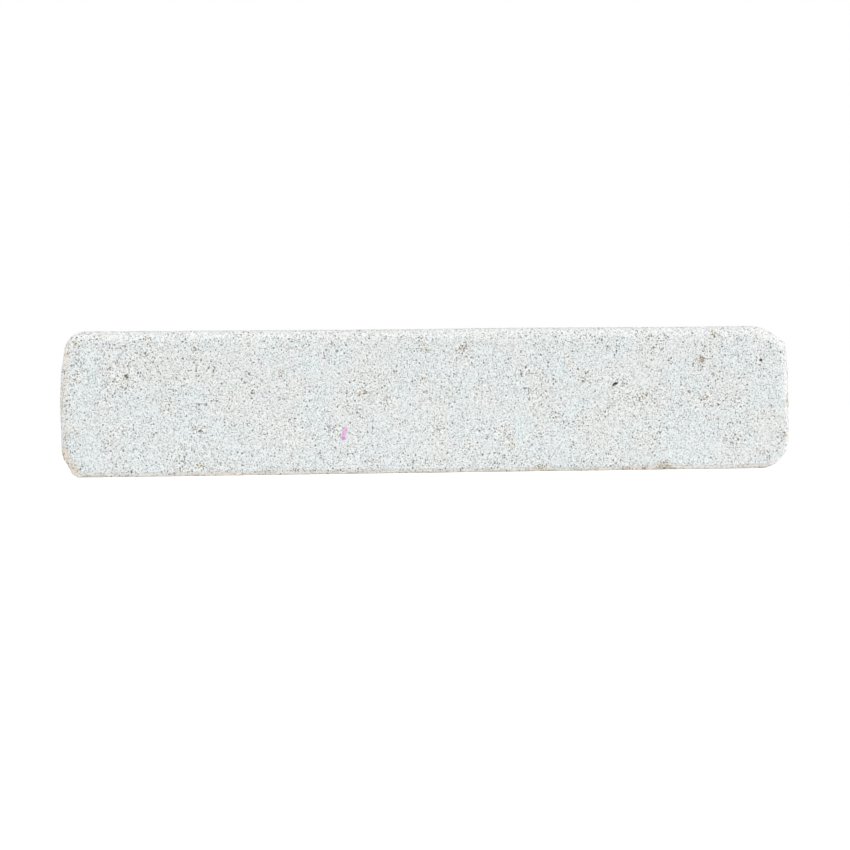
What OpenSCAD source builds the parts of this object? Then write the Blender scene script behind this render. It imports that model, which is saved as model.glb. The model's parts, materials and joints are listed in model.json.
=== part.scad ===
// Tumbled limestone facing brick: one sawn block with worn arrises, crowned ends and a broken corner.
// The face that shows in the wall looks along -Y, and the block rests on its lower bed at z = 0.

/* [Block] */
// Length of the block, along X
block_length = 250; // [180:1:400]
// Depth from the face to the back, along Y
block_depth = 120; // [80:1:200]
// Height between the two beds, along Z
block_height = 49.5; // [45:0.5:90]

/* [Arrises] */
// Radius where the upper bed meets the face
upper_arris = 4; // [1:0.1:4]
// Radius where the lower bed meets the face
lower_arris = 1.2; // [1:0.1:4]
// Radius where an end meets the face
end_arris = 3.4; // [1:0.1:4]
// Radius all round the back
back_arris = 4; // [1:0.1:4]

/* [Crowned ends] */
// Radius of the curve by which an end falls back above and below its flat
crown_radius = 80; // [40:1:200]
// Height of the flat of the left end, and of its lower limit above the lower bed
left_flat = 14; // [8:0.5:18]
left_flat_low = 13; // [10:0.5:16]
// Height of the flat of the right end, and of its lower limit above the lower bed
right_flat = 16; // [8:0.5:18]
right_flat_low = 17; // [10:0.5:18]

/* [Worn corners of the outline] */
// Radius of the upper left corner
upper_left_round = 6.8; // [4:0.1:10]
// Radius of the lower right corner
lower_right_round = 10; // [4:0.1:10]
// Radius of the broad upper right corner
upper_right_round = 12.2; // [8:0.1:14]
// How far that broad round stands in from the right end
upper_right_reach = 0.9; // [0:0.1:3]
// Height of the shoulder under that round, down from the upper bed
shoulder_drop = 7.8; // [6:0.1:10]
// How far that shoulder stands in from the right end
shoulder_reach = 0.6; // [0:0.1:3]

/* [Broken lower left corner] */
// How far the break runs along the lower bed, at the face
break_length = 4; // [2:0.1:8]
// How far the break runs up the left end, at the face
break_height = 8.5; // [6:0.5:12]
// How far back from the face the break fades out
break_depth = 50; // [20:1:70]
// How far the corner stands in from the left end where the break has faded
break_reach = 0.8; // [0:0.1:2]

/* [Spalls on the lower arris] */
// How far a spall reaches in from the squared arris
spall_break = 1.5; // [1.2:0.1:3]
// Radius of the shallow dish that a spall leaves
spall_dish = 14; // [8:0.5:30]

/* [Hidden] */
stone = [0.87, 0.88, 0.875];
// Segments to a full turn, on the worn rounds and on the dishes of the spalls
round_fn = 32;
dish_fn = 64;
// Smallest radius of the outline, for the discs that carry an end
small_round = 4;
// Places of the spalls along the length, from the middle, and the size of each
spall_place_shares = [0.326, 0.165, -0.461];
spall_size_shares = [1, 0.8, 0.75];
// Direction that a spall faces: forwards and down
spall_turn = 270;
spall_tilt = 135;

half_length = block_length / 2;
half_depth = block_depth / 2;

// How far an end falls back at height z, when it is flat from low to high
function crown_inset(z, low, high) = pow(max(z - high, low - z, 0), 2) / (2 * crown_radius);
function left_inset(z) = crown_inset(z, left_flat_low, left_flat_low + left_flat);
function right_inset(z) = crown_inset(z, right_flat_low, right_flat_low + right_flat);

// A disc with its rim worn to a round, lying flat round the Z axis
module worn_disc(radius, arris) {
    rotate_extrude($fn = round_fn)
        intersection() {
            translate([radius - arris, 0]) circle(arris, $fn = round_fn);
            translate([0, -arris]) square([radius, 2 * arris]);
        }
}

// One short edge of the block, from the face to the back, inset from the left (side -1) or right end (1)
module worn_edge(side, inset, z, radius, arris, set_back = 0) {
    translate([side * (half_length - inset - radius), 0, z])
        rotate([90, 0, 0]) {
            translate([0, 0, half_depth - arris - set_back]) worn_disc(radius, arris);
            translate([0, 0, back_arris - half_depth]) worn_disc(radius, min(radius, back_arris));
        }
}

module left_end() {
    top = block_height - upper_left_round;
    flat_top = left_flat_low + left_flat;
    worn_edge(-1, left_inset(top), top, upper_left_round, upper_arris);
    for (z = [left_flat_low, flat_top, (flat_top + top) / 2])
        worn_edge(-1, left_inset(z), z, small_round, end_arris);
}

module right_end() {
    shoulder = block_height - shoulder_drop;
    worn_edge(1, upper_right_reach, block_height - upper_right_round, upper_right_round, upper_arris);
    worn_edge(1, shoulder_reach, shoulder, small_round, end_arris);
    for (z = [right_flat_low, right_flat_low + right_flat])
        worn_edge(1, right_inset(z), z, small_round, end_arris);
    worn_edge(1, right_inset(lower_right_round), lower_right_round, lower_right_round, lower_arris);
}

// The corner between the face, the lower bed and the left end is gone: three short edges span the break
module broken_corner() {
    worn_edge(-1, break_length, lower_arris, lower_arris, lower_arris);
    worn_edge(-1, left_inset(break_height), break_height, small_round, end_arris);
    worn_edge(-1, break_reach, small_round, small_round, lower_arris, break_depth);
}

// What a knock takes off the lower arris: a shallow dish, cut reach deep from the squared arris
module spall(place_share, size_share) {
    dish = spall_dish * size_share;
    reach = spall_break * size_share;
    translate([block_length * place_share, -half_depth, 0])
        rotate([0, spall_tilt, spall_turn])
            translate([0, 0, dish - reach]) sphere(dish, $fn = dish_fn);
}

module brick() {
    color(stone)
        difference() {
            hull() {
                left_end();
                right_end();
                broken_corner();
            }
            for (i = [0 : len(spall_place_shares) - 1])
                spall(spall_place_shares[i], spall_size_shares[i]);
        }
}

brick();
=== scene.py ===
import json
import math
import bpy
import numpy as np
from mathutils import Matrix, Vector

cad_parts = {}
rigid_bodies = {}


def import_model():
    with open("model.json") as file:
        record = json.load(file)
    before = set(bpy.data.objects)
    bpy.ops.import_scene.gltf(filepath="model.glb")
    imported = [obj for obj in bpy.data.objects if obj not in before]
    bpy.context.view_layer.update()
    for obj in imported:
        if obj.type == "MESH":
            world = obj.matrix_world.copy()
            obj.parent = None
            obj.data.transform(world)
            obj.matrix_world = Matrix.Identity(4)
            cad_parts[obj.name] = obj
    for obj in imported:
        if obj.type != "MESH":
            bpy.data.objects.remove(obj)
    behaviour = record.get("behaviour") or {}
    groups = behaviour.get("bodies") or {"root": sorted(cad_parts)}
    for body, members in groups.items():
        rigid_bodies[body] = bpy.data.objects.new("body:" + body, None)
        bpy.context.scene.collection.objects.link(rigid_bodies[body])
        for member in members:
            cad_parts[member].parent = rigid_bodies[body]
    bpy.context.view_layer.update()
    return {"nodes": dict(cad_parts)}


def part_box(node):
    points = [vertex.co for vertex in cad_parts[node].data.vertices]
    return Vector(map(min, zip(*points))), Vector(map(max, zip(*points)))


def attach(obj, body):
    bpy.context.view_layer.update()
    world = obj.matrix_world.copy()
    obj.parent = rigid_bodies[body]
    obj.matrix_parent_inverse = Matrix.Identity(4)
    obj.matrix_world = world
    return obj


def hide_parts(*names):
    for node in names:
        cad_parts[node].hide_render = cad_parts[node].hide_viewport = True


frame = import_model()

mm = 0.001


# camera: it looks at the long face from a little to the left, level with its middle

photoView = {
    "frame": 850,                   # the photograph is square, this many pixels a side
    "faceMiddle": (429.4, 400.5),   # where the middle of the face is in it
    "pixelsPerMetre": 2936,         # at the middle of the face
    "distance": 0.75,               # of the camera from there, in metres
    "yaw": math.radians(4.2),       # how far round to the left the camera stands
    "roll": math.radians(0.66),
}


def faceMiddle():
    low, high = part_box("brick")
    return Vector(((low.x + high.x) / 2, low.y, (low.z + high.z) / 2))


def addCamera(view):
    offset = Vector((-math.sin(view["yaw"]), -math.cos(view["yaw"]), 0)) * view["distance"]
    bpy.ops.object.camera_add(location=faceMiddle() + offset,
                              rotation=(math.pi / 2, view["roll"], -view["yaw"]))
    camera = bpy.context.active_object
    camera.name = "camera"
    camera.data.lens = camera.data.sensor_width * view["distance"] * view["pixelsPerMetre"] / view["frame"]
    camera.data.shift_x = 0.5 - view["faceMiddle"][0] / view["frame"]
    camera.data.shift_y = view["faceMiddle"][1] / view["frame"] - 0.5
    bpy.context.scene.camera = camera
    bpy.context.view_layer.update()
    return camera


def onFace(pixel):
    # the point of the face that shows at a pixel of the photograph
    data = camera.data
    share = Vector((pixel[0] / photoView["frame"] - 0.5 + data.shift_x,
                    0.5 - pixel[1] / photoView["frame"] + data.shift_y))
    ray = camera.matrix_world.to_3x3() @ Vector((*(share * data.sensor_width), -data.lens))
    start = camera.matrix_world.translation
    return start + ray * ((faceMiddle().y - start.y) / ray.y)


camera = addCamera(photoView)
print("camera placed, lens", round(camera.data.lens, 1), "mm")


# marks on the face: each has its pixel in the photograph, its width and height in millimetres and
# its turn in degrees

markDepth = 6                       # how far behind the face a mark reaches, in millimetres

faceMarks = {
    # open pits, with their depth in millimetres too
    "pits": [
        ((615.6, 383.6), (1.8, 0.8), 12, 1.5),
        ((613.5, 385.0), (0.8, 0.6), 30, 1.0),
        ((761, 360), (1.1, 0.9), 0, 1.1),
        ((126, 376), (1.3, 1.1), 0, 0.7),
        ((702, 361), (1.5, 1.2), 0, 0.7),
        ((713, 374), (1.1, 0.9), 0, 0.7),
        ((690, 392), (1.2, 0.9), 0, 0.7),
        ((329, 427), (1.2, 1.1), 0, 0.6),
        ((195, 350), (1.0, 0.9), 0, 0.7),
        ((170, 398), (1.1, 0.9), 0, 0.7),
        ((153, 399), (0.9, 0.9), 0, 0.6),
        ((125, 389), (1.0, 0.8), 0, 0.7),
        ((110, 369), (0.9, 0.8), 0, 0.6),
        ((201, 360), (0.8, 0.9), 0, 0.6),
        ((201, 431), (1.1, 0.9), 0, 0.7),
        ((262, 381), (0.9, 0.8), 0, 0.6),
        ((245, 383), (0.9, 0.7), 0, 0.6),
        ((252, 393), (1.1, 0.8), 0, 0.6),
        ((337, 351), (1.0, 0.9), 0, 0.7),
        ((394, 371), (0.9, 0.9), 0, 0.6),
        ((366, 392), (1.0, 0.8), 0, 0.6),
        ((424, 392), (1.0, 0.9), 0, 0.6),
        ((438, 429), (1.3, 0.8), 0, 0.6),
        ((466, 345), (0.9, 0.9), 0, 0.6),
        ((529, 399), (0.9, 0.9), 0, 0.6),
        ((584, 381), (0.9, 0.8), 0, 0.6),
        ((662, 349), (0.9, 0.9), 0, 0.6),
        ((587, 439), (0.8, 0.8), 0, 0.6),
        ((532, 445), (0.9, 0.8), 0, 0.6),
        ((732, 443), (1.1, 0.9), 0, 0.7),
        ((778, 437), (0.9, 0.8), 0, 0.6),
    ],
    # open stone, where the pores crowd
    "open": [
        ((105, 370), (4, 6), 0),
        ((120, 384), (9, 8), 0),
        ((132, 362), (5, 9), -15),
        ((75, 377), (6, 4), 0),
        ((147, 340), (6, 3), 0),
        ((167, 407), (6, 5), 0),
        ((187, 382), (5, 7), 0),
        ((195, 352), (5, 7), 0),
        ((199, 429), (5, 3.5), 0),
        ((182, 469), (11, 2.4), 0),
        ((227, 396), (5, 4), 0),
        ((254, 388), (7, 4), 20),
        ((292, 349), (7, 3), 0),
        ((297, 468), (6, 3), 0),
        ((337, 431), (5, 6), 0),
        ((362, 391), (6, 6), 20),
        ((388, 402), (8, 4), 20),
        ((422, 380), (3, 7), -10),
        ((423, 343), (4, 6), 0),
        ((465, 348), (7, 5), 30),
        ((430, 463), (16, 3), 0),
        ((439, 431), (6, 4), 30),
        ((466, 445), (4, 6), 0),
        ((504, 434), (8, 9), 0),
        ((533, 394), (8, 4), -35),
        ((555, 419), (6, 3), 30),
        ((570, 362), (4, 9), 25),
        ((584, 376), (5, 5), 0),
        ((607, 414), (6, 3), 0),
        ((637, 400), (7, 4), 30),
        ((660, 342), (4, 5), 0),
        ((687, 392), (4, 6), 0),
        ((705, 400), (8, 7), 0),
        ((712, 417), (7, 3), 0),
        ((738, 405), (8, 3), 0),
        ((737, 438), (4, 8), -20),
        ((760, 360), (4, 4), 0),
        ((764, 450), (7, 4), 0),
        ((68, 350), (3, 4), -30),
        ((64, 386), (1.6, 7), 0),
        ((64, 424), (1.6, 5), 0),
    ],
    "rust": [
        ((700, 360), (4.6, 3.6), 0),
        ((645, 396), (2.8, 2.4), 30),
        ((127, 377), (2.6, 3.0), 0),
        ((461, 348), (4.6, 1.5), 33),
        ((426, 350), (2.6, 1.8), 0),
        ((281, 372), (3.0, 1.6), 0),
        ((361, 394), (3.0, 2.4), 0),
        ((512, 445), (2.8, 2.6), 0),
        ((714, 333), (3.0, 2.4), 0),
        ((706, 398), (2.8, 1.8), 20),
        ((194, 427), (1.6, 1.2), 0),
        ((146, 339), (3.2, 1.0), 0),
        ((664, 465), (5.6, 3.4), 0),
        ((644, 467), (2.2, 2.0), 0),
        ((626, 468), (4.6, 1.2), 0),
        ((598, 469), (3.0, 1.2), 0),
        ((541, 467), (4.2, 2.6), 0),
        ((529, 469), (2.6, 1.6), 0),
        ((200, 466), (4.2, 2.2), 0),
        ((788, 400), (1.6, 4.6), 0),
        ((785, 434), (1.8, 2.8), -30),
        ((100, 335), (2.6, 2.0), 0),
        ((75.5, 343), (2.2, 2.4), 0),
        ((67.5, 354), (1.8, 2.2), 0),
        ((66, 438), (1.6, 2.2), -30),
    ],
    # soil on the broken corner, and on the lower arris beside it
    "soil": [
        ((65, 457), (3.6, 8.4), 25),
        ((72, 469), (7.4, 4.8), -35),
    ],
    # dabs of pink marking chalk
    "chalk": [
        ((344.8, 430.6), (1.8, 2.8), -15),
        ((343.4, 437.2), (1.5, 2.6), 0),
    ],
}


# the stone's surface

stoneShape = {
    "weld": 0.01 * mm,              # corners of the node's triangles that lie this close are one point
    "voxel": 1.25 * mm,             # grid of the whole block
    "faceDepth": 4 * mm,            # how far back from the face that grid is halved
    "wornAngle": 0.10,              # how soon a surface that turns away from its face counts as worn
    # each kind of relief has its size across, its depth, the share of that depth that lies inwards,
    # and how many times it is broken up more finely
    "waves": (45 * mm, 0.35 * mm, 0.75, 0),
    "wornGrain": (1.8 * mm, 1.0 * mm, 0.62, 2),     # on the arrises and the broken corner only
    "hollows": (9 * mm, 0.08 * mm, 0.75, 1),
    "grain": (2.2 * mm, 0.12 * mm, 0.75, 1),
}


def displace(piece, name, relief, group=""):
    # dents the surface, mostly inwards, so that the block keeps its real size
    across, depth, inwards, finer = relief
    texture = bpy.data.textures.new(name, "CLOUDS")
    texture.noise_scale = across
    texture.noise_depth = finer
    bpy.ops.object.modifier_add(type="DISPLACE")
    modifier = piece.modifiers[-1]
    modifier.texture = texture
    modifier.texture_coords = "LOCAL"
    modifier.strength = depth
    modifier.mid_level = inwards
    modifier.vertex_group = group
    bpy.ops.object.modifier_apply(modifier=modifier.name)


def weigh(piece, name, weights, levels=20):
    # a vertex group with a weight for each point, rounded to one of so many levels
    group = piece.vertex_groups.new(name=name)
    for step in range(1, levels + 1):
        level = step / levels
        chosen = np.where(np.abs(weights - level) <= 0.5 / levels)[0]
        if len(chosen):
            group.add(chosen.tolist(), level, "REPLACE")
    return name


def keep(piece, name, values):
    # an attribute that the material reads
    layer = piece.data.attributes.new(name, "FLOAT", "POINT")
    layer.data.foreach_set("value", values.astype(np.float32))


def points(piece):
    place = np.empty(len(piece.data.vertices) * 3, np.float32)
    piece.data.vertices.foreach_get("co", place)
    return place.reshape(-1, 3)


def closeness(place, pixel, size, turn):
    # of each point to one mark on the face: 1 at its middle, 0 at its outline, less beyond
    away = (place - np.array(onFace(pixel))) / mm
    turn = math.radians(turn)
    along = away[:, 0] * math.cos(turn) + away[:, 2] * math.sin(turn)
    up = away[:, 2] * math.cos(turn) - away[:, 0] * math.sin(turn)
    reach = np.sqrt((2 * along / size[0]) ** 2 + (2 * up / size[1]) ** 2 + (away[:, 1] / markDepth) ** 2)
    return np.maximum(1 - reach, -1)


def copyNode(name, node, weld):
    # a copy of a node as a piece of its own, with its loose triangles joined
    bpy.ops.object.select_all(action="DESELECT")
    node.select_set(True)
    bpy.context.view_layer.objects.active = node
    bpy.ops.object.duplicate()
    piece = bpy.context.active_object
    piece.name = name
    bpy.ops.object.parent_clear(type="CLEAR_KEEP_TRANSFORM")
    for key in list(piece.keys()):
        del piece[key]
    bpy.ops.object.mode_set(mode="EDIT")
    bpy.ops.mesh.select_all(action="SELECT")
    bpy.ops.mesh.remove_doubles(threshold=weld)
    bpy.ops.object.mode_set(mode="OBJECT")
    return piece


def gridStone(stone, shape):
    bpy.ops.object.modifier_add(type="REMESH")
    remesh = stone.modifiers[-1]
    remesh.mode = "VOXEL"
    remesh.voxel_size = shape["voxel"]
    bpy.ops.object.modifier_apply(modifier=remesh.name)

    # the face is seen closest, so its grid is halved
    front = faceMiddle().y + shape["faceDepth"]
    bpy.ops.object.mode_set(mode="EDIT")
    bpy.ops.mesh.select_mode(type="FACE")
    bpy.ops.mesh.select_all(action="DESELECT")
    bpy.ops.object.mode_set(mode="OBJECT")
    for face in stone.data.polygons:
        face.select = face.center.y < front
    bpy.ops.object.mode_set(mode="EDIT")
    bpy.ops.mesh.subdivide(number_cuts=1)
    bpy.ops.object.mode_set(mode="OBJECT")


def sinkPits(stone):
    place = points(stone)
    deepest = max(depth for *_, depth in faceMarks["pits"])
    sunk = np.zeros(len(place))
    for pixel, size, turn, depth in faceMarks["pits"]:
        sunk = np.maximum(sunk, closeness(place, pixel, size, turn) * depth / deepest)
    bpy.ops.object.modifier_add(type="DISPLACE")
    modifier = stone.modifiers[-1]
    modifier.mid_level = 0
    modifier.strength = -deepest * mm
    modifier.vertex_group = weigh(stone, "pits", sunk)
    bpy.ops.object.modifier_apply(modifier=modifier.name)


def makeStone(shape):
    stone = copyNode("limestone_block", frame["nodes"]["brick"], shape["weld"])
    gridStone(stone, shape)
    print("stone gridded:", len(stone.data.vertices), "points")

    # a surface that looks along no axis is an arris or a corner
    normals = np.empty(len(stone.data.vertices) * 3, np.float32)
    stone.data.vertex_normals.foreach_get("vector", normals)
    turned = 1 - np.abs(normals.reshape(-1, 3)).max(axis=1)
    worn = np.clip(turned / shape["wornAngle"], 0, 1)
    wornGroup = weigh(stone, "worn", worn)
    displace(stone, "waves", shape["waves"])
    displace(stone, "wornGrain", shape["wornGrain"], wornGroup)
    displace(stone, "hollows", shape["hollows"])
    displace(stone, "grain", shape["grain"])
    sinkPits(stone)

    keep(stone, "wear", worn)
    place = points(stone)
    for name in ("open", "rust", "soil"):
        keep(stone, name, np.max([closeness(place, *mark) for mark in faceMarks[name]], axis=0))
    bpy.ops.object.shade_smooth()
    print("stone shaped:", sum(len(f.vertices) - 2 for f in stone.data.polygons), "triangles")
    return stone


stone = makeStone(stoneShape)
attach(stone, "root")
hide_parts("brick")


# the limestone's finish

def linear(hexColour):
    # an sRGB hex value as the linear colour that the shader wants
    channels = [int(hexColour[i:i + 2], 16) / 255 for i in (1, 3, 5)]
    return [c / 12.92 if c <= 0.04045 else ((c + 0.055) / 1.055) ** 2.4 for c in channels] + [1]


def add(tree, kind, inputs, **settings):
    # adds a node; each of its inputs takes a value or another node's output
    node = tree.nodes.new("ShaderNode" + kind)
    for name, value in settings.items():
        setattr(node, name, value)
    for key, value in inputs.items():
        if isinstance(value, bpy.types.NodeSocket):
            tree.links.new(value, node.inputs[key])
        else:
            node.inputs[key].default_value = value
    return node


# tumbled limestone: a pale, chalky stone of sand-sized grains, quite matt, with painted shade in the gaps
# between the grains and in the pores where one fell out
limestoneFinish = {
    # an edge has two values of the pattern that it cuts: where something starts, and where it is full
    "cool": "#e9eff0",              # tight stone, which drifts from cool to warm
    "warm": "#ebedec",
    "drift": 13 * mm,               # scale of the noise that it drifts with
    "driftEdge": (0.38, 0.62),
    "open": "#f2f3f1",              # stone whose pores crowd
    "clusters": 10 * mm,            # scale of the noise that it follows, beside its marks on the face
    "clusterEdge": (0.42, 0.90),
    "outline": 1.5 * mm,            # how coarsely the outline of a patch wanders
    "openEdge": (0.3, 0.9),         # on the sum of a patch's closeness and that wandering
    "rustEdge": (0.4, 0.8),
    "soilEdge": (0.3, 1.1),
    "stray": (1.2 * mm, 0.8 * mm),  # size and reach of the straying of grit, pores, shallow pits and chalk

    # how far in from its bed or end the finish of an arris starts and is full, and how strong it is; on the
    # upper, right and lower arrises that finish is partly painted highlight
    "lowerArris": (3.5 * mm, 0.5 * mm, 1),
    "upperArris": (19.5 * mm, 5.5 * mm, 0.6),
    "rightArris": (65 * mm, 5 * mm, 1),
    "leftArris": (7 * mm, 1 * mm, 0.7),
    "rubbedHighlight": "#fcfdfb",            # on the worn surface of every arris but the left one: rubbed stone and painted highlight, lighter at the top and right where the light falls, and lifting the shade of the lower arris
    "rubbedHighlightOff": 0.25,              # how much of the dark is gone under that rubbing and painted highlight

    "gap": "#757977",               # dim grit, and painted shade in the gaps between grains
    "grit": 0.42 * mm,              # finer in the real stone, and drawn as coarse as it needs to show
    "gritShade": (0.92, 1.03),      # darkest and brightest of the common grit
    "dimMost": 0.5,                 # how dark the rare dim grit is, and how rare
    "dimRarity": 5,
    "grains": 0.45 * mm,            # scale of the noise whose bumps are the grains, up to 1 mm across
    "gapEdge": (0.46, 0.26),        # on that noise
    "gapDark": 0.68,                # how dark the painted shade of a gap is at its fullest
    "openGaps": 0.02,               # how much further up that noise the gaps of open stone start
    "darkTightOpen": (0.93, 1.1),   # how much of all that dark there is in tight and in open stone
    "holeShade": "#363836",              # painted shade inside a pore, where a grain is missing, and inside a pit
    "pores": 0.85 * mm,             # how far apart pores could lie
    "poresTightOpen": (0.06, 0.38),  # how many of them there are in tight and in open stone
    "poreEdge": (0.42, 0.26),       # as shares of that distance, from a pore's middle
    "poreLeast": 0.5,               # how dark the palest of them is
    "deepPit": 0.8,                 # a pit this deep or more, in millimetres, is quite dark inside
    "deepSoft": 0.25,               # how soft its outline is, as a share of its radius
    "shallowPits": 0.5,             # how dark the others are
    "shallowSoft": 0.35,

    "rust": "#6c6553",              # in the gaps and pores: rust, darkened there as painted shade
    "rustTint": "#fcf7f0",          # on the stone between them
    "rustDarker": 0.6,              # how much more of the dark rusty stone has
    "rustPores": 0.2,               # how many more of its pores there are
    "soil": "#fcecde",
    "lowerSoil": 0.4,               # how much of it the lower arris has
    "clumps": 2.5 * mm,             # how far apart its clumps lie on the left one
    "clumpEdge": (0.40, 0.60),      # on their noise
    "chalk": "#d888d2",
    "chalkGrain": 0.6 * mm,         # scale of the noise of the grains that it catches on
    "chalkEdge": (0.40, 0.56),      # on that noise
    "chalkLeast": 0.35,             # how much of it there is between them
    "chalkSoft": 0.3,               # how soft the outline of a dab is, as a share of its radius

    "bumpDepth": 0.25 * mm,         # of a gap or pore that is quite dark
    "bumpStrength": 0.5,
    "crumbs": (1.5 * mm, 4.5),      # size of the crumbs of the worn surface, and their height in bump depths
    "roughness": 0.92,
}


def strayed(tree, place, finish):
    # the same place, strayed a little, so that no outline is smooth
    size, reach = finish["stray"]
    noise = add(tree, "TexNoise", {"Vector": place, "Scale": 1 / size, "Detail": 1.0})
    offset = add(tree, "VectorMath", {0: noise.outputs["Color"], 1: (0.5, 0.5, 0.5)}, operation="SUBTRACT")
    return add(tree, "VectorMath", {0: offset.outputs[0], 1: (reach, reach, reach), 2: place},
               operation="MULTIPLY_ADD").outputs[0]


def patchShare(tree, name, wander, edge):
    # 1 in the patches of one kind and 0 outside, from the stone's attribute of that name
    near = add(tree, "Attribute", {}, attribute_name=name).outputs["Fac"]
    reach = add(tree, "Math", {0: near, 1: wander}, operation="ADD")
    return add(tree, "MapRange", {"Value": reach.outputs[0], "From Min": edge[0],
                                  "From Max": edge[1]}).outputs[0]


def markShare(tree, place, marks, soft):
    # 1 inside small marks on the face and 0 outside, over a soft edge
    nearest = None
    for pixel, (width, height), turn in marks:
        away = add(tree, "Mapping",
                   {"Vector": place, "Location": onFace(pixel), "Rotation": (0, -math.radians(turn), 0),
                    "Scale": (width / 2 * mm, markDepth * mm, height / 2 * mm)}, vector_type="TEXTURE")
        reach = add(tree, "VectorMath", {0: away.outputs[0]}, operation="LENGTH").outputs["Value"]
        if nearest:
            nearest = add(tree, "Math", {0: nearest, 1: reach}, operation="MINIMUM").outputs[0]
        else:
            nearest = reach
    return add(tree, "MapRange", {"Value": nearest, "From Min": 1 + soft, "From Max": 1 - soft}).outputs[0]


def openShare(tree, place, wander, finish):
    # how open the stone is: in patches on the face, and a little in clusters all over
    clusters = add(tree, "TexNoise", {"Vector": place, "Scale": 1 / finish["clusters"], "Detail": 2.0})
    clusters = add(tree, "MapRange", {"Value": clusters.outputs["Fac"], "From Min": finish["clusterEdge"][0],
                                      "From Max": finish["clusterEdge"][1]})
    crowded = patchShare(tree, "open", wander, finish["openEdge"])
    return add(tree, "Math", {0: clusters.outputs[0], 1: crowded}, operation="MAXIMUM").outputs[0]


def arrisShares(tree, place, finish):
    # how far a point lies into the finish of each arris
    low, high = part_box("brick")
    axes = add(tree, "SeparateXYZ", {"Vector": place})
    shares = {}
    for name, axis, side, inwards in (("lowerArris", "Z", low.z, 1), ("upperArris", "Z", high.z, -1),
                                      ("rightArris", "X", high.x, -1), ("leftArris", "X", low.x, 1)):
        start, full, strength = finish[name]
        shares[name] = add(tree, "MapRange", {"Value": axes.outputs[axis], "To Max": strength,
                                              "From Min": side + inwards * start,
                                              "From Max": side + inwards * full}).outputs[0]
    return shares


def rubbedHighlightShare(tree, arrises, wear):
    # how much the worn surface is rubbed and painted lighter as a highlight, on the upper, lower and right
    # arrises
    rubbedHighlight = add(tree, "Math", {0: arrises["upperArris"], 1: arrises["lowerArris"]}, operation="MAXIMUM")
    rubbedHighlight = add(tree, "Math", {0: rubbedHighlight.outputs[0], 1: arrises["rightArris"]}, operation="MAXIMUM")
    return add(tree, "Math", {0: rubbedHighlight.outputs[0], 1: wear}, operation="MULTIPLY").outputs[0]


def soilShare(tree, place, wander, arrises, wear, finish):
    # soil lies on the broken corner, thinly on the lower arris, and in clumps on the left one
    corner = patchShare(tree, "soil", wander, finish["soilEdge"])
    clumps = add(tree, "TexNoise", {"Vector": place, "Scale": 1 / finish["clumps"], "Detail": 1.0})
    clumps = add(tree, "MapRange", {"Value": clumps.outputs["Fac"], "From Min": finish["clumpEdge"][0],
                                    "From Max": finish["clumpEdge"][1]})
    left = add(tree, "Math", {0: arrises["leftArris"], 1: clumps.outputs[0]}, operation="MULTIPLY")
    lower = add(tree, "Math", {0: arrises["lowerArris"], 1: finish["lowerSoil"]}, operation="MULTIPLY")
    both = add(tree, "Math", {0: lower.outputs[0], 1: left.outputs[0]}, operation="MAXIMUM")
    worn = add(tree, "Math", {0: both.outputs[0], 1: wear}, operation="MULTIPLY")
    return add(tree, "Math", {0: corner, 1: worn.outputs[0]}, operation="MAXIMUM").outputs[0]


def stoneTone(tree, place, openness, rubbedHighlight, finish):
    # tight stone drifts from cool to warm, open stone is paler, and a rubbed arris is palest, partly from
    # rubbing and partly as painted highlight
    drift = add(tree, "TexNoise", {"Vector": place, "Scale": 1 / finish["drift"], "Detail": 1.0})
    drift = add(tree, "MapRange", {"Value": drift.outputs["Fac"], "From Min": finish["driftEdge"][0],
                                   "From Max": finish["driftEdge"][1]})
    tone = add(tree, "Mix", {0: drift.outputs[0], 6: linear(finish["cool"]), 7: linear(finish["warm"])},
               data_type="RGBA")
    tone = add(tree, "Mix", {0: openness, 6: tone.outputs[2], 7: linear(finish["open"])}, data_type="RGBA")
    tone = add(tree, "Mix", {0: rubbedHighlight, 6: tone.outputs[2], 7: linear(finish["rubbedHighlight"])}, data_type="RGBA")
    return tone.outputs[2]


def gritColour(tree, ragged, tone, finish):
    # fine grit: most of it is pale, a little is dim; gives its colour and how dark it is
    grit = add(tree, "TexVoronoi", {"Vector": ragged, "Scale": 1 / finish["grit"]})
    each = add(tree, "SeparateColor", {"Color": grit.outputs["Color"]})
    shade = add(tree, "MapRange", {"Value": each.outputs[0], "To Min": finish["gritShade"][0],
                                   "To Max": finish["gritShade"][1]})
    pale = add(tree, "VectorMath", {0: tone, "Scale": shade.outputs[0]}, operation="SCALE")
    rare = add(tree, "Math", {0: each.outputs[2], 1: finish["dimRarity"]}, operation="POWER")
    dim = add(tree, "Math", {0: rare.outputs[0], 1: finish["dimMost"]}, operation="MULTIPLY")
    return pale.outputs[0], dim.outputs[0]


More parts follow.
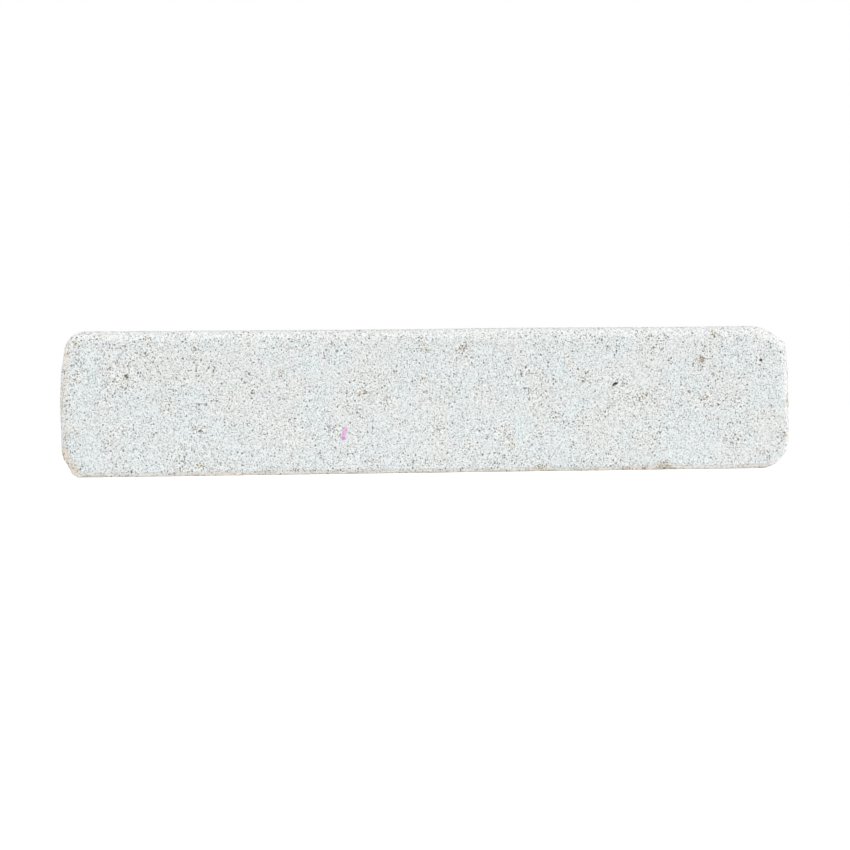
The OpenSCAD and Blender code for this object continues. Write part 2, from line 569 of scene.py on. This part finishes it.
def darkShare(tree, place, dim, openness, rust, rubbedHighlight, finish):
    # the grains that the grit builds stand out, and the gaps between them are in shadow
    grains = add(tree, "TexNoise", {"Vector": place, "Scale": 1 / finish["grains"], "Detail": 0.0})
    widened = add(tree, "Math", {0: openness, 1: -finish["openGaps"], 2: grains.outputs["Fac"]},
                  operation="MULTIPLY_ADD")
    gap = add(tree, "MapRange", {"Value": widened.outputs[0], "From Min": finish["gapEdge"][0],
                                 "From Max": finish["gapEdge"][1], "To Max": finish["gapDark"]})
    dark = add(tree, "Math", {0: dim, 1: gap.outputs[0]}, operation="ADD")
    share = add(tree, "MapRange", {"Value": openness, "To Min": finish["darkTightOpen"][0],
                                   "To Max": finish["darkTightOpen"][1]})
    share = add(tree, "Math", {0: rust, 1: finish["rustDarker"], 2: share.outputs[0]},
                operation="MULTIPLY_ADD")
    dark = add(tree, "Math", {0: dark.outputs[0], 1: share.outputs[0]}, operation="MULTIPLY")
    left = add(tree, "MapRange", {"Value": rubbedHighlight, "To Min": 1, "To Max": 1 - finish["rubbedHighlightOff"]})
    return add(tree, "Math", {0: dark.outputs[0], 1: left.outputs[0]}, operation="MULTIPLY").outputs[0]


def poreShare(tree, ragged, openness, rust, finish):
    # pores, where a grain is missing, more of them where the stone is open or rusty; their dark colour is
    # painted shade inside the hole
    share = add(tree, "MapRange", {"Value": openness, "To Min": finish["poresTightOpen"][0],
                                   "To Max": finish["poresTightOpen"][1]})
    share = add(tree, "Math", {0: rust, 1: finish["rustPores"], 2: share.outputs[0]},
                operation="MULTIPLY_ADD")
    cell = add(tree, "TexVoronoi", {"Vector": ragged, "Scale": 1 / finish["pores"]})
    own = add(tree, "SeparateColor", {"Color": cell.outputs["Color"]})
    here = add(tree, "Math", {0: own.outputs[0], 1: share.outputs[0]}, operation="LESS_THAN")
    hole = add(tree, "MapRange", {"Value": cell.outputs["Distance"], "From Min": finish["poreEdge"][0],
                                  "From Max": finish["poreEdge"][1]})
    opened = add(tree, "Math", {0: here.outputs[0], 1: hole.outputs[0]}, operation="MULTIPLY")
    depth = add(tree, "MapRange", {"Value": own.outputs[1], "To Min": finish["poreLeast"]})
    return add(tree, "Math", {0: opened.outputs[0], 1: depth.outputs[0]}, operation="MULTIPLY").outputs[0]


def pitShare(tree, place, ragged, finish):
    # pits, dark in themselves, because little light reaches into them
    deep = [pit[:3] for pit in faceMarks["pits"] if pit[3] >= finish["deepPit"]]
    shallow = [pit[:3] for pit in faceMarks["pits"] if pit[3] < finish["deepPit"]]
    deep = markShare(tree, place, deep, finish["deepSoft"])
    shallow = markShare(tree, ragged, shallow, finish["shallowSoft"])
    shallow = add(tree, "Math", {0: shallow, 1: finish["shallowPits"]}, operation="MULTIPLY")
    return add(tree, "Math", {0: deep, 1: shallow.outputs[0]}, operation="MAXIMUM").outputs[0]


def chalkShare(tree, place, ragged, finish):
    # chalk catches on the grains that stand out
    grains = add(tree, "TexNoise", {"Vector": place, "Scale": 1 / finish["chalkGrain"]})
    caught = add(tree, "MapRange", {"Value": grains.outputs["Fac"], "From Min": finish["chalkEdge"][0],
                                    "From Max": finish["chalkEdge"][1], "To Min": finish["chalkLeast"]})
    dabs = markShare(tree, ragged, faceMarks["chalk"], finish["chalkSoft"])
    return add(tree, "Math", {0: dabs, 1: caught.outputs[0]}, operation="MULTIPLY").outputs[0]


def stoneBump(tree, place, dark, pores, wear, finish):
    # gaps and pores are sunk, and the worn surface is crumbled
    size, height = finish["crumbs"]
    sunk = add(tree, "Math", {0: dark, 1: pores}, operation="ADD")
    crumbs = add(tree, "TexNoise", {"Vector": place, "Scale": 1 / size, "Detail": 1.0})
    crumbs = add(tree, "Math", {0: crumbs.outputs["Fac"], 1: height}, operation="MULTIPLY")
    sunk = add(tree, "Math", {0: crumbs.outputs[0], 1: wear, 2: sunk.outputs[0]}, operation="MULTIPLY_ADD")
    return add(tree, "Bump", {"Height": sunk.outputs[0], "Strength": finish["bumpStrength"],
                              "Distance": finish["bumpDepth"]}, invert=True).outputs[0]


def limestoneMaterial(finish):
    material = bpy.data.materials.new("tumbledLimestone")
    material.use_nodes = True
    tree = material.node_tree
    tree.nodes.clear()

    # where things are
    place = add(tree, "TexCoord", {}).outputs["Object"]
    ragged = strayed(tree, place, finish)
    wander = add(tree, "TexNoise", {"Vector": place, "Scale": 1 / finish["outline"],
                                    "Detail": 1.0}).outputs["Fac"]
    wear = add(tree, "Attribute", {}, attribute_name="wear").outputs["Fac"]
    openness = openShare(tree, place, wander, finish)
    arrises = arrisShares(tree, place, finish)
    rubbedHighlight = rubbedHighlightShare(tree, arrises, wear)
    rust = patchShare(tree, "rust", wander, finish["rustEdge"])
    soil = soilShare(tree, place, wander, arrises, wear, finish)

    # what they are made of
    tone = stoneTone(tree, place, openness, rubbedHighlight, finish)
    colour, dim = gritColour(tree, ragged, tone, finish)
    dark = darkShare(tree, place, dim, openness, rust, rubbedHighlight, finish)
    pores = poreShare(tree, ragged, openness, rust, finish)
    rustyShade = linear(finish["rust"])
    # painted shade in the gaps between grains, rust-coloured where the stone is rusty
    gapShade = add(tree, "Mix", {0: rust, 6: linear(finish["gap"]), 7: rustyShade}, data_type="RGBA").outputs[2]
    poreShade = add(tree, "Mix", {0: rust, 6: linear(finish["holeShade"]), 7: rustyShade}, data_type="RGBA").outputs[2]

    # the colour, one layer over another
    layers = [
        (dark, gapShade, "MIX"),
        (soil, linear(finish["soil"]), "MULTIPLY"),
        (rust, linear(finish["rustTint"]), "MULTIPLY"),
        (pores, poreShade, "MIX"),
        (pitShare(tree, place, ragged, finish), linear(finish["holeShade"]), "MIX"),
        (chalkShare(tree, place, ragged, finish), linear(finish["chalk"]), "MIX"),
    ]
    for share, layer, blend in layers:
        colour = add(tree, "Mix", {0: share, 6: colour, 7: layer}, data_type="RGBA",
                     blend_type=blend).outputs[2]

    bump = stoneBump(tree, place, dark, pores, wear, finish)
    shader = add(tree, "BsdfPrincipled", {"Base Color": colour, "Normal": bump,
                                          "Roughness": finish["roughness"]})
    add(tree, "OutputMaterial", {"Surface": shader.outputs[0]})
    return material


stone.data.materials.clear()
stone.data.materials.append(limestoneMaterial(limestoneFinish))
print("limestone ready")


# plain studio: pale floor, large soft lights, even white surroundings

studio = {
    "floorSize": 8,                 # all lengths here are in metres
    "floorColour": "#fcfcfc",
    "floorRoughness": 0.9,
    "floorGlow": 0.6,               # lifts the floor to white where the camera sees it, and keeps the shadow
    "surroundings": 0.45,
    "lights": [
        {"name": "rightLight", "location": (1.6, -1.0, 0.15), "size": (1.2, 0.25), "power": 12.8},
        {"name": "leftLight", "location": (-1.6, -1.0, 0.15), "size": (1.2, 0.25), "power": 11.4},
        {"name": "topLight", "location": (0, -0.3, 1.6), "size": (1.2, 1.2), "power": 11.4},
    ],
}


def addFloor(settings):
    bpy.ops.mesh.primitive_plane_add(size=settings["floorSize"])
    floor = bpy.context.active_object
    floor.name = "floor"
    material = bpy.data.materials.new("paintedFloor")
    material.use_nodes = True
    tree = material.node_tree
    tree.nodes.clear()
    path = add(tree, "LightPath", {})
    seen = add(tree, "Math", {0: path.outputs["Is Camera Ray"], 1: settings["floorGlow"]},
               operation="MULTIPLY")
    glow = add(tree, "Emission", {"Strength": seen.outputs[0]})
    paint = add(tree, "BsdfPrincipled", {"Base Color": linear(settings["floorColour"]),
                                         "Roughness": settings["floorRoughness"]})
    both = add(tree, "AddShader", {0: paint.outputs[0], 1: glow.outputs[0]})
    add(tree, "OutputMaterial", {"Surface": both.outputs[0]})
    floor.data.materials.append(material)


def addSurroundings(settings):
    world = bpy.data.worlds.new("studio")
    bpy.context.scene.world = world
    world.use_nodes = True
    tree = world.node_tree
    tree.nodes.clear()
    path = add(tree, "LightPath", {})
    seen = add(tree, "Math", {0: path.outputs["Is Camera Ray"], 1: path.outputs["Is Glossy Ray"]},
               operation="MAXIMUM")
    seen = add(tree, "Math", {0: seen.outputs[0], 1: path.outputs["Is Transmission Ray"]},
               operation="MAXIMUM")
    strength = add(tree, "MapRange", {"Value": seen.outputs[0], "To Min": settings["surroundings"]})
    white = add(tree, "Background", {"Color": (1, 1, 1, 1), "Strength": strength.outputs[0]})
    add(tree, "OutputWorld", {"Surface": white.outputs[0]})


def addLights(settings):
    # each one shines on the middle of the lower bed
    for one in settings["lights"]:
        bpy.ops.object.light_add(type="AREA", location=one["location"])
        light = bpy.context.active_object
        light.name = one["name"]
        light.data.energy = one["power"]
        light.data.shape = "RECTANGLE"
        light.data.size, light.data.size_y = one["size"]
        light.rotation_euler = (-light.location).to_track_quat("-Z", "Y").to_euler()


addFloor(studio)
addSurroundings(studio)
addLights(studio)
bpy.context.scene.view_settings.view_transform = "Standard"
print("studio lit")
